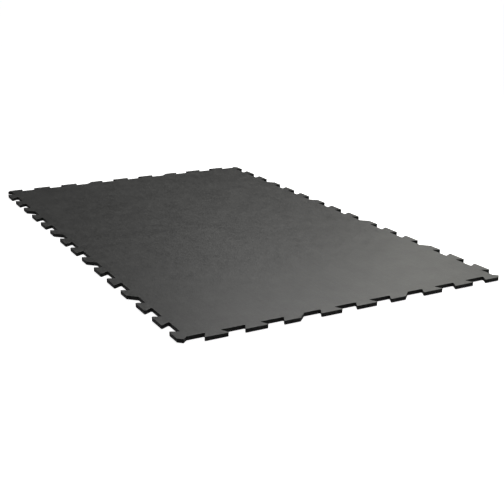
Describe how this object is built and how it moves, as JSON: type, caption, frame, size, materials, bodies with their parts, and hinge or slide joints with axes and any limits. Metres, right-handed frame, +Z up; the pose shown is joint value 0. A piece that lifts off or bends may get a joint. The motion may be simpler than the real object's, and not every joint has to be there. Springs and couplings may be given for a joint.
{
  "type": "interlocking gym mat",
  "caption": "Flat rectangular rubber floor mat with dovetail tabs and sockets along all four edges, so that mats lock together side by side.",
  "frame": {"origin": "on the underside, at the middle of the mat", "axes": "+X along the long edges, +Y along the short edges, +Z up out of the wear face"},
  "size_m": [1.5464, 0.9368, 0.01],
  "materials": {
    "wear_skin": "dense black rubber skin, dull with a fine mottled grain",
    "crumb_core": "bonded crumb rubber, cut edges, matt"
  },
  "bodies": {
    "root": {"wear_skin": "wear_skin", "core_field": "crumb_core", "tabs_front": "crumb_core", "tabs_right": "crumb_core", "tabs_back": "crumb_core", "tabs_left": "crumb_core"}
  },
  "joints": []
}
